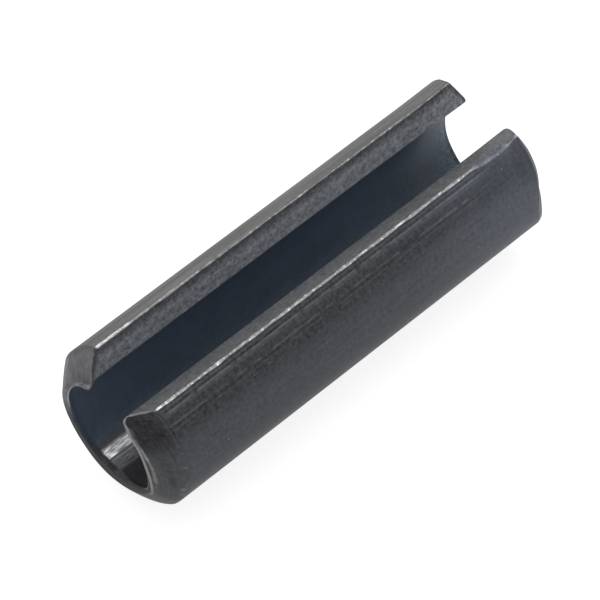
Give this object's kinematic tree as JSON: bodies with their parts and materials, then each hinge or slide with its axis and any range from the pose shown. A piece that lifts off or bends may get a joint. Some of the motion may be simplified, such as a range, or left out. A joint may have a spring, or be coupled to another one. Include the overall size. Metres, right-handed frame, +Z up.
{
  "type": "slotted spring pin",
  "caption": "Slotted spring pin rolled from a steel strip into a C-shaped tube with tapered ends, pressed into a drilled hole to locate or fasten two parts.",
  "frame": {"origin": "on the pin's axis, halfway along its length", "axes": "+X along the pin's axis, from the more strongly tapered end to the other; +Z up, out of the slot as the pin lies at rest"},
  "size_m": [0.0252, 0.0086, 0.0081],
  "materials": {
    "blackened_steel": "black oxide on spring steel, satin, worn bright along the outer slot edges"
  },
  "bodies": {
    "root": {"spring_pin": "blackened_steel"}
  },
  "joints": []
}
